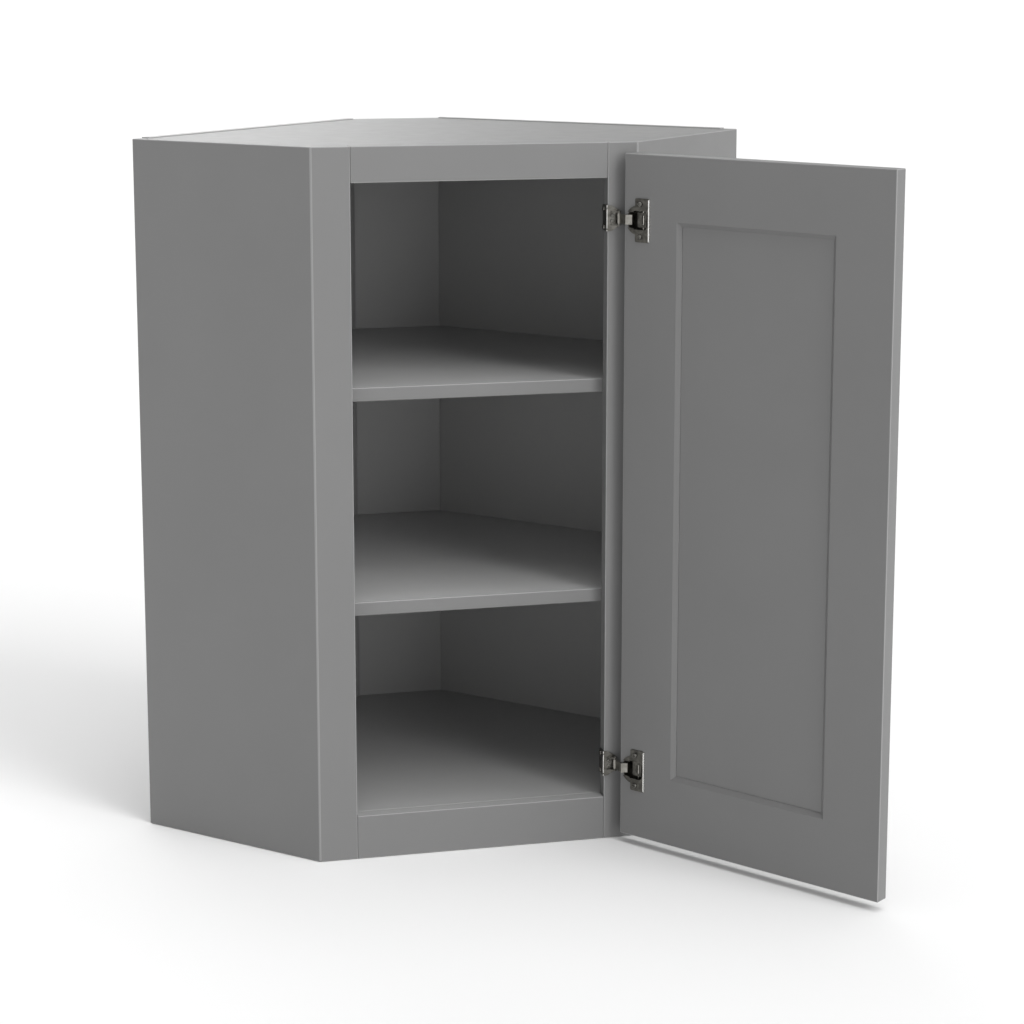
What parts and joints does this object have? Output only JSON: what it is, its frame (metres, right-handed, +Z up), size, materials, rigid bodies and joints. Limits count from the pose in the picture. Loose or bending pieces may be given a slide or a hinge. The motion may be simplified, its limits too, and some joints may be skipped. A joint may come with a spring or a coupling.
{
  "type": "diagonal corner wall cabinet",
  "caption": "Diagonal corner wall cabinet with a face frame, inner shelves and a framed flat-panel door that swings wide on concealed hinges.",
  "frame": {"origin": "middle of the bottom rail's underside: the middle of the front's width and of the frame's thickness, at the cabinet's lower edge", "axes": "+Z up; -Y out of the front; +X to the hinge side"},
  "size_m": [0.8428, 0.8666, 0.9156],
  "materials": {
    "outer_paint": "satin grey paint",
    "inner_paint": "satin grey paint",
    "hinge_nickel": "nickel-plated steel",
    "hinge_cup_nickel": "darker nickel-plated steel",
    "fastener_zinc": "zinc-plated steel"
  },
  "bodies": {
    "cabinet": {"left_side_panel": "outer_paint", "right_side_panel": "outer_paint", "left_back_panel": "inner_paint", "right_back_panel": "inner_paint", "corner_back_panel": "inner_paint", "top_panel": "outer_paint", "bottom_panel": "inner_paint", "upper_shelf": "inner_paint", "lower_shelf": "inner_paint", "frame_left_stile": "outer_paint", "frame_right_stile": "outer_paint", "frame_top_rail": "outer_paint", "frame_bottom_rail": "outer_paint", "lower_shelf_pin_right_front": "fastener_zinc", "lower_shelf_pin_right_back": "fastener_zinc", "lower_shelf_pin_left_front": "fastener_zinc", "lower_shelf_pin_left_back": "fastener_zinc", "upper_shelf_pin_right_front": "fastener_zinc", "upper_shelf_pin_right_back": "fastener_zinc", "upper_shelf_pin_left_front": "fastener_zinc", "upper_shelf_pin_left_back": "fastener_zinc", "upper_hinge_bracket": "hinge_nickel", "lower_hinge_bracket": "hinge_nickel", "upper_hinge_bracket_screw_top": "fastener_zinc", "upper_hinge_bracket_screw_bottom": "fastener_zinc", "lower_hinge_bracket_screw_top": "fastener_zinc", "lower_hinge_bracket_screw_bottom": "fastener_zinc", "upper_hinge_adjusting_screw_top": "fastener_zinc", "upper_hinge_adjusting_screw_bottom": "fastener_zinc", "lower_hinge_adjusting_screw_top": "fastener_zinc", "lower_hinge_adjusting_screw_bottom": "fastener_zinc", "upper_hinge_arm_pin": "fastener_zinc", "lower_hinge_arm_pin": "fastener_zinc"},
    "door": {"door_hinge_stile": "outer_paint", "door_free_stile": "outer_paint", "door_top_rail": "outer_paint", "door_bottom_rail": "outer_paint", "door_panel": "outer_paint", "upper_hinge_cup": "hinge_cup_nickel", "lower_hinge_cup": "hinge_cup_nickel", "upper_hinge_cup_axle": "fastener_zinc", "lower_hinge_cup_axle": "fastener_zinc", "upper_hinge_cup_screw_top": "fastener_zinc", "upper_hinge_cup_screw_bottom": "fastener_zinc", "lower_hinge_cup_screw_top": "fastener_zinc", "lower_hinge_cup_screw_bottom": "fastener_zinc"},
    "hinge_arms": {"upper_hinge_arm": "hinge_nickel", "lower_hinge_arm": "hinge_nickel"}
  },
  "joints": [
    {"name": "door_swing", "type": "hinge", "parent": "cabinet", "child": "door", "pos_m": [0.1943, -0.0225, 0.45], "axis": [0, 0, 1], "range_deg": [-127, 0]},
    {"name": "hinge_arm_swing", "type": "hinge", "parent": "cabinet", "child": "hinge_arms", "pos_m": [0.182, -0.0155, 0.45], "axis": [0, 0, 1], "range_deg": [-102.2, 0]}
  ],
  "couplings": [
    {"joint": "hinge_arm_swing", "follows": "door_swing", "ratio": 0.804}
  ]
}
